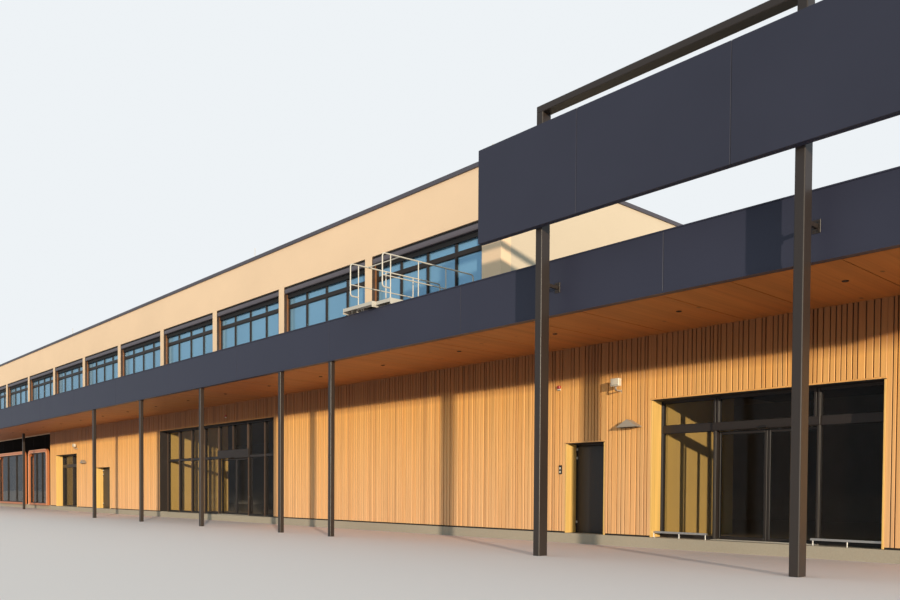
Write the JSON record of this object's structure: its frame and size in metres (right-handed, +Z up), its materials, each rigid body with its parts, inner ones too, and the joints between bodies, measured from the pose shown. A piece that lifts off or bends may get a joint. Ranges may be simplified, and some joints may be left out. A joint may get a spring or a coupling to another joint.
{
  "type": "supermarket building, 1:2 scale model",
  "caption": "Long supermarket with timber-clad ground floor, deep canopy on slim columns, windowed upper storey, sliding entrances and a blank sign portal.",
  "frame": {"origin": "middle of the building's box in plan, at the lowest ground that a post stands on", "axes": "+X along the front to the right as seen from the street, +Y into the building, +Z up"},
  "size_m": [35.72, 10.005, 5.8],
  "materials": {
    "timber_cladding": "vertical battens, oiled",
    "concrete": "plain concrete",
    "render": "fine cream render",
    "coping_metal": "grey-brown sheet",
    "shop_panel": "dark flat panel",
    "shop_frame": "satin light grey",
    "dark_frame": "anthracite powder coat",
    "glass": "clear insulating glass",
    "blind_box": "grey coated sheet",
    "sliding_door": "anthracite frame and clear glass",
    "steel_door": "anthracite paint",
    "soffit_timber": "laminated timber boards",
    "fascia_metal": "anthracite flat panels",
    "dark_steel": "blue-black paint",
    "sign_panel": "plain satin panel",
    "galvanised_steel": "galvanised",
    "fitting_plastic": "matte"
  },
  "bodies": {
    "building": {"blind_boxes": "blind_box", "canopy_columns": "dark_steel", "canopy_deck": "soffit_timber", "canopy_fascia": "fascia_metal", "door_frames": "steel_door", "end_copings": "coping_metal", "end_walls": "timber_cladding", "entrance_tracks": "dark_frame", "fascia_ends": "fascia_metal", "front_wall": "timber_cladding", "front_wall_lintels": "timber_cladding", "ground_floor_glass": "glass", "ground_floor_slab": "concrete", "guard_rails": "galvanised_steel", "kick_rails": "galvanised_steel", "left_entrance_frame": "dark_frame", "left_window_frame": "dark_frame", "lightning_rods": "galvanised_steel", "lobby_wall": "render", "long_copings": "coping_metal", "low_end_parapet": "render", "low_parapets": "render", "low_roof": "concrete", "rear_wall": "timber_cladding", "right_entrance_frame": "dark_frame", "roof_platform": "galvanised_steel", "shop_frieze": "shop_panel", "shop_wall": "shop_panel", "shop_window_frames": "shop_frame", "sign_board": "sign_panel", "sign_brackets": "dark_steel", "sign_posts": "dark_steel", "sign_top_rail": "dark_steel", "upper_floor": "concrete", "upper_gables": "render", "upper_glass": "glass", "upper_head_walls": "render", "upper_piers": "render", "upper_roof": "concrete", "upper_sill_walls": "render", "upper_window_frames": "dark_frame", "wall_fittings": "fitting_plastic"},
    "left_entrance_left_leaf": {"left_entrance_left_leaf": "sliding_door"},
    "left_entrance_right_leaf": {"left_entrance_right_leaf": "sliding_door"},
    "right_entrance_left_leaf": {"right_entrance_left_leaf": "sliding_door"},
    "right_entrance_right_leaf": {"right_entrance_right_leaf": "sliding_door"},
    "service_door_leaf": {"service_door_leaf": "steel_door"},
    "side_door_left_leaf": {"side_door_left_leaf": "steel_door"},
    "side_door_right_leaf": {"side_door_right_leaf": "steel_door"}
  },
  "joints": [
    {"name": "left_entrance_left_slide", "type": "slide", "parent": "building", "child": "left_entrance_left_leaf", "axis": [-1, 0, 0], "range_m": [0, 0.62]},
    {"name": "left_entrance_right_slide", "type": "slide", "parent": "building", "child": "left_entrance_right_leaf", "axis": [1, 0, 0], "range_m": [0, 0.62]},
    {"name": "right_entrance_left_slide", "type": "slide", "parent": "building", "child": "right_entrance_left_leaf", "axis": [-1, 0, 0], "range_m": [0, 0.53]},
    {"name": "right_entrance_right_slide", "type": "slide", "parent": "building", "child": "right_entrance_right_leaf", "axis": [1, 0, 0], "range_m": [0, 0.53]},
    {"name": "service_door_hinge", "type": "hinge", "parent": "building", "child": "service_door_leaf", "pos_m": [11.346, -2.8145, 0.7], "axis": [0, 0, -1], "range_deg": [0, 90]},
    {"name": "side_door_left_hinge", "type": "hinge", "parent": "building", "child": "side_door_left_leaf", "pos_m": [-5.796, -2.8145, 0.7], "axis": [0, 0, -1], "range_deg": [0, 90]},
    {"name": "side_door_right_hinge", "type": "hinge", "parent": "building", "child": "side_door_right_leaf", "pos_m": [-4.769, -2.8145, 0.7], "axis": [0, 0, 1], "range_deg": [0, 90]}
  ],
  "couplings": [
    {"joint": "left_entrance_right_slide", "follows": "left_entrance_left_slide", "ratio": 1},
    {"joint": "right_entrance_right_slide", "follows": "right_entrance_left_slide", "ratio": 1}
  ]
}
